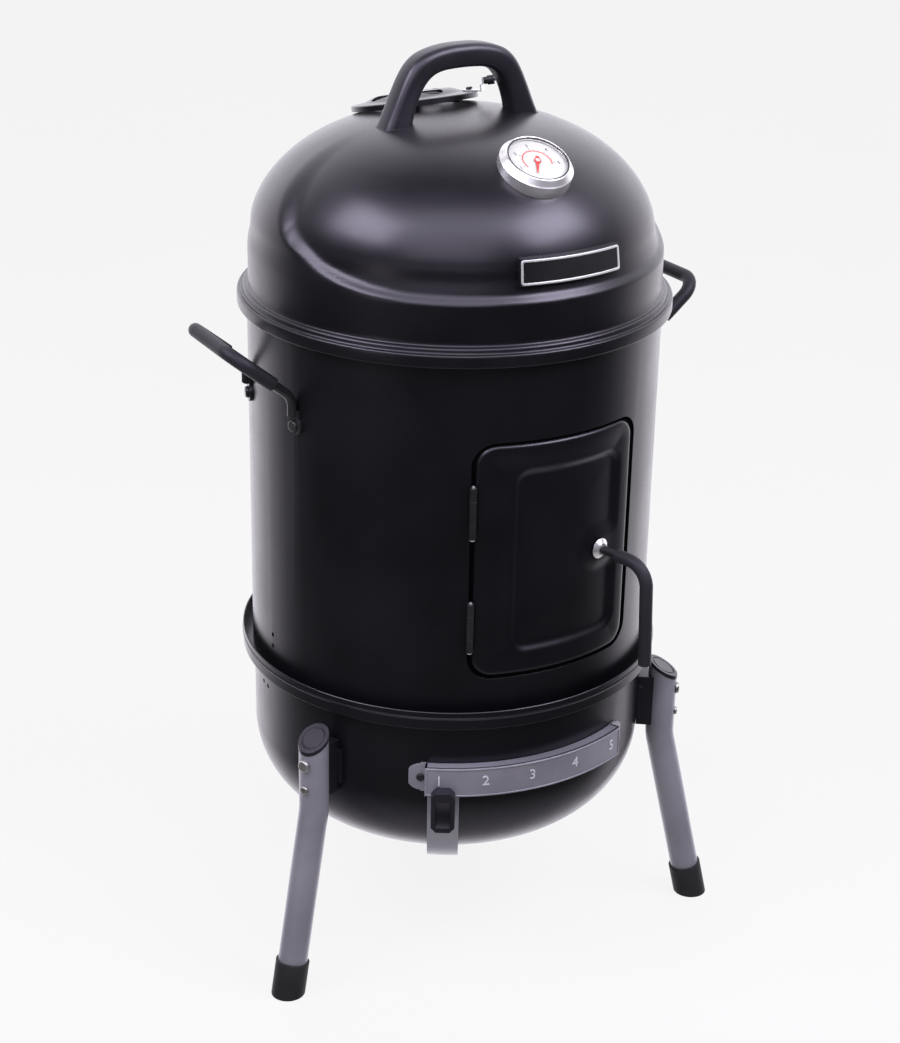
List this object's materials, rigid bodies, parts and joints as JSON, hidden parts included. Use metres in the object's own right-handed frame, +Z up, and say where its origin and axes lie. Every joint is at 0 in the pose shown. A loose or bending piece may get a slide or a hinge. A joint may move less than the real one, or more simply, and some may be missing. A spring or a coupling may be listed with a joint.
{
  "type": "vertical water smoker",
  "caption": "Upright charcoal smoker: footed fire bowl, barrel with side door and loop handles, domed lid with thermometer, vent and arched handle.",
  "frame": {"origin": "on the ground under the drum axis, level with the undersides of the feet", "axes": "+Z up along the drum axis, -Y toward the side door and thermometer, +X to the viewer's right when facing the door"},
  "size_m": [0.5512, 0.5676, 0.943],
  "materials": {
    "black_enamel": "satin porcelain enamel, near black",
    "silver_paint": "satin silver-grey coating",
    "black_plastic": "matt glass-filled nylon",
    "plaque_black": "black plaque with a pale border",
    "foot_rubber": "moulded rubber",
    "black_steel": "black coated steel",
    "zinc_steel": "zinc plated",
    "grate_steel": "bare heat-darkened steel",
    "grip_sleeve": "black sleeve, satin",
    "bright_steel": "polished",
    "plated_grate": "plated wire",
    "pan_enamel": "speckled porcelain enamel",
    "dial_white": "matt printed dial",
    "lens_glass": "clear flat lens",
    "pointer_red": "red painted pointer"
  },
  "bodies": {
    "base": {"base_bowl": "black_enamel", "leg_front_left": "silver_paint", "leg_front_right": "silver_paint", "leg_rear": "silver_paint", "leg_caps": "black_plastic", "leg_brackets": "black_plastic", "foot_tip_front_left": "foot_rubber", "foot_tip_front_right": "foot_rubber", "foot_tip_rear": "foot_rubber", "leg_screws_upper": "black_steel", "leg_screws_lower": "black_steel", "leg_nuts": "zinc_steel", "damper_scale": "silver_paint", "damper_scale_screws": "black_steel", "damper_pivot_bolt": "zinc_steel", "damper_pivot_nut": "zinc_steel"},
    "air_damper": {"damper_arm": "silver_paint", "damper_disc": "zinc_steel", "damper_rivets": "zinc_steel", "damper_knob": "black_plastic"},
    "fire_grate": {"charcoal_grate": "grate_steel"},
    "fire_ring": {"charcoal_ring": "grate_steel"},
    "drum": {"drum_shell": "black_enamel", "door_frame": "black_enamel", "grate_brackets_upper": "zinc_steel", "grate_brackets_lower": "zinc_steel", "side_handle_left": "black_steel", "side_handle_right": "black_steel", "side_handle_grip_left": "grip_sleeve", "side_handle_grip_right": "grip_sleeve", "side_handle_screws": "black_steel", "side_handle_nuts": "zinc_steel", "hinge_knuckles_fixed": "black_steel", "hinge_pins": "bright_steel"},
    "door": {"door_panel": "black_enamel", "hinge_leaves_door": "black_steel", "latch_washer": "bright_steel"},
    "door_latch": {"latch_rod": "bright_steel", "latch_grip": "grip_sleeve", "latch_cam": "zinc_steel", "latch_nut": "zinc_steel"},
    "lower_grate": {"lower_cooking_grate": "plated_grate"},
    "pan": {"water_pan": "pan_enamel"},
    "upper_grate": {"upper_cooking_grate": "plated_grate"},
    "lid": {"lid_shell": "black_enamel", "lid_handle": "black_plastic", "lid_handle_screws": "zinc_steel", "badge_plaque": "plaque_black", "thermometer_case": "bright_steel", "thermometer_dial": "dial_white", "thermometer_lens": "lens_glass", "thermometer_stem": "zinc_steel", "thermometer_nut": "zinc_steel", "vent_rivet": "zinc_steel", "vent_spacer": "zinc_steel"},
    "lid_vent": {"vent_disc": "black_enamel", "vent_tab": "bright_steel", "vent_tab_screw": "black_steel", "vent_knob": "black_steel"},
    "thermometer_needle": {"thermometer_pointer": "pointer_red"}
  },
  "joints": [
    {"name": "drum_lift", "type": "slide", "parent": "base", "child": "drum", "axis": [0, 0, 1], "range_m": [0, 0.35]},
    {"name": "lid_lift", "type": "slide", "parent": "drum", "child": "lid", "axis": [0, 0, 1], "range_m": [0, 0.3]},
    {"name": "air_damper_turn", "type": "hinge", "parent": "base", "child": "air_damper", "pos_m": [0, 0, 0.1057], "axis": [0, 0, 1], "range_deg": [0, 50]},
    {"name": "door_hinge", "type": "hinge", "parent": "drum", "child": "door", "pos_m": [-0.09457, -0.19219, 0.48], "axis": [0, 0, -1], "range_deg": [0, 150]},
    {"name": "door_handle_turn", "type": "hinge", "parent": "door", "child": "door_latch", "pos_m": [0.04711, -0.20567, 0.4775], "axis": [-0.2233, 0.9748, 0], "range_deg": [0, 90]},
    {"name": "lid_vent_turn", "type": "hinge", "parent": "lid", "child": "lid_vent", "pos_m": [-0.00005, 0.08445, 0.87073], "axis": [-0.026, 0.2242, 0.9742], "range_deg": [0, 45]},
    {"name": "thermometer_needle_turn", "type": "hinge", "parent": "lid", "child": "thermometer_needle", "pos_m": [0, -0.1365, 0.8503], "axis": [0, 0.4617, -0.887], "range_deg": [0, 285]},
    {"name": "upper_grate_lift", "type": "slide", "parent": "drum", "child": "upper_grate", "axis": [0, 0, 1], "range_m": [0, 0.04]},
    {"name": "lower_grate_lift", "type": "slide", "parent": "drum", "child": "lower_grate", "axis": [0, 0, 1], "range_m": [0, 0.06]},
    {"name": "water_pan_lift", "type": "slide", "parent": "drum", "child": "pan", "axis": [0, 0, 1], "range_m": [0, 0.04]},
    {"name": "fire_ring_lift", "type": "slide", "parent": "fire_grate", "child": "fire_ring", "axis": [0, 0, 1], "range_m": [0, 0.06]},
    {"name": "fire_grate_lift", "type": "slide", "parent": "base", "child": "fire_grate", "axis": [0, 0, 1], "range_m": [0, 0.06]}
  ]
}
